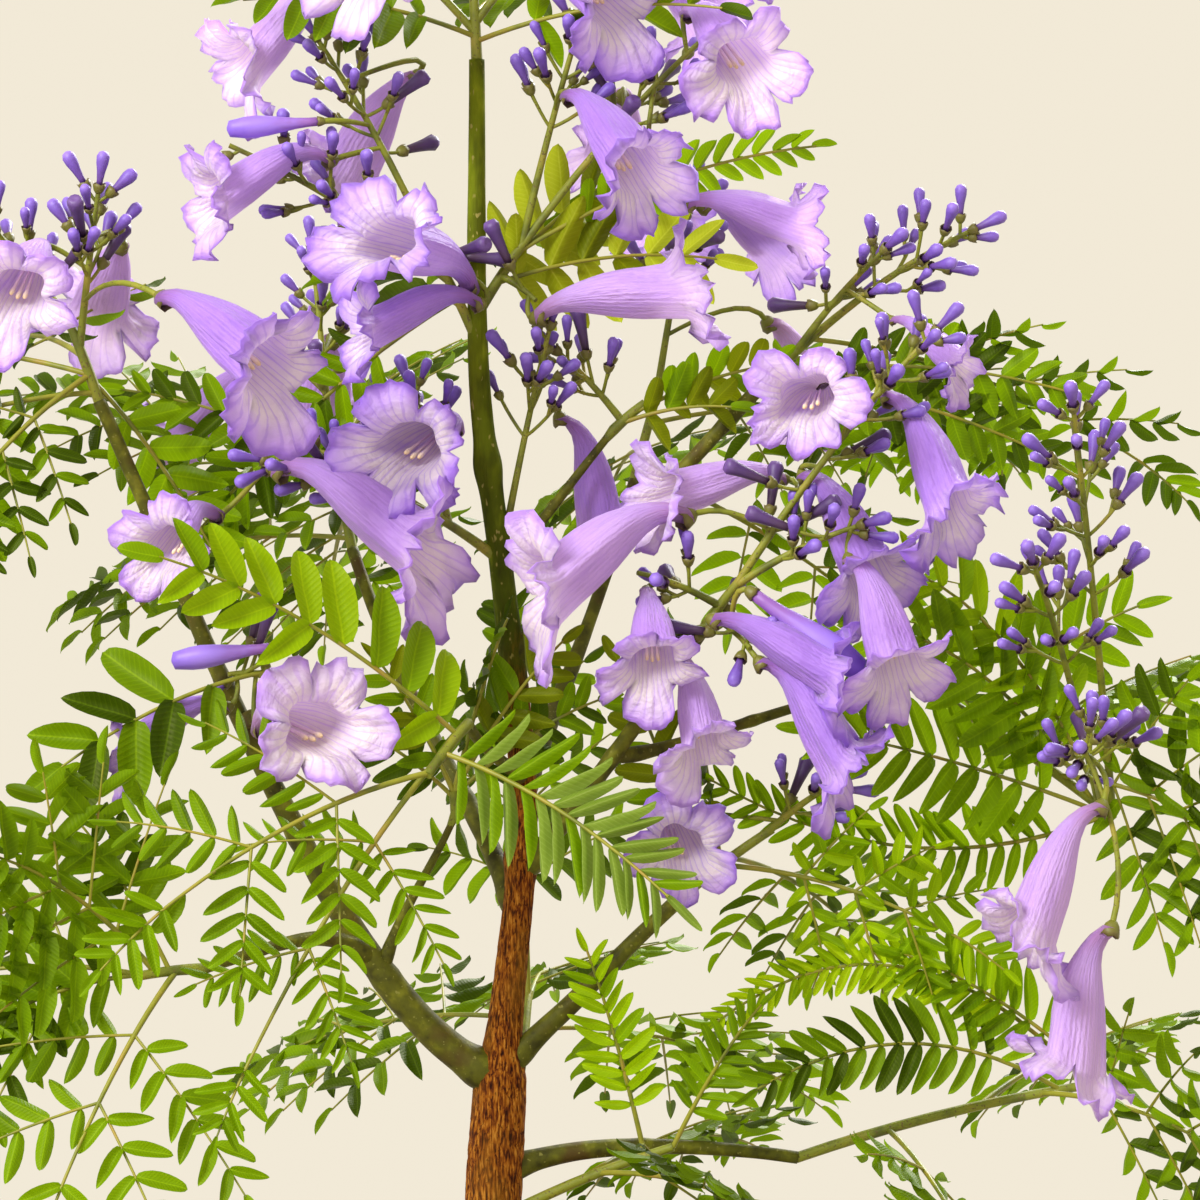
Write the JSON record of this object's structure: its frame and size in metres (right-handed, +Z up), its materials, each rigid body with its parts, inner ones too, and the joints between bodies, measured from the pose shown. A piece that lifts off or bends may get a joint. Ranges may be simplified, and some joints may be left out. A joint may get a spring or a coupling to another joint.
{
  "type": "potted jacaranda bonsai",
  "caption": "Potted dwarf jacaranda bonsai in flower, with a leaning trunk, tapering boughs, divided ferny leaves and violet trumpet flowers, in a plain stoneware pot of soil.",
  "frame": {"origin": "middle of the pot's flat underside", "axes": "+Z up the trunk, +X to the right and +Y away from the viewer as the plant is seen from the front"},
  "size_m": [0.3416, 0.2248, 0.4342],
  "materials": {
    "clay": "matte",
    "earth": "matte",
    "bark": "matte",
    "green_bark": "matte",
    "foliage": "matte"
  },
  "bodies": {
    "root": {"pot": "clay", "soil": "earth", "trunk": "bark", "left_bough": "green_bark", "left_low_bough": "green_bark", "left_side_bough": "green_bark", "left_shoot": "green_bark", "right_bough": "green_bark", "right_middle_bough": "green_bark", "right_far_bough": "green_bark", "right_upper_bough": "green_bark", "low_right_bough": "green_bark", "leaf_stalk_bough": "green_bark", "back_left_bough": "green_bark", "back_right_bough": "green_bark", "back_low_bough": "green_bark", "front_bough": "green_bark", "crown_top_mass": "foliage", "upper_left_mass": "foliage", "upper_right_mass": "foliage", "inner_right_mass": "foliage", "left_mass": "foliage", "left_center_mass": "foliage", "left_mid_mass": "foliage", "inner_left_mass": "foliage", "lower_left_mass": "foliage", "front_mass": "foliage", "right_center_mass": "foliage", "right_upper_mass": "foliage", "right_mass": "foliage", "right_low_mass": "foliage", "low_right_mass": "foliage", "low_shoot_mass": "foliage", "back_left_mass": "foliage", "back_right_mass": "foliage", "back_low_mass": "foliage"}
  },
  "joints": []
}
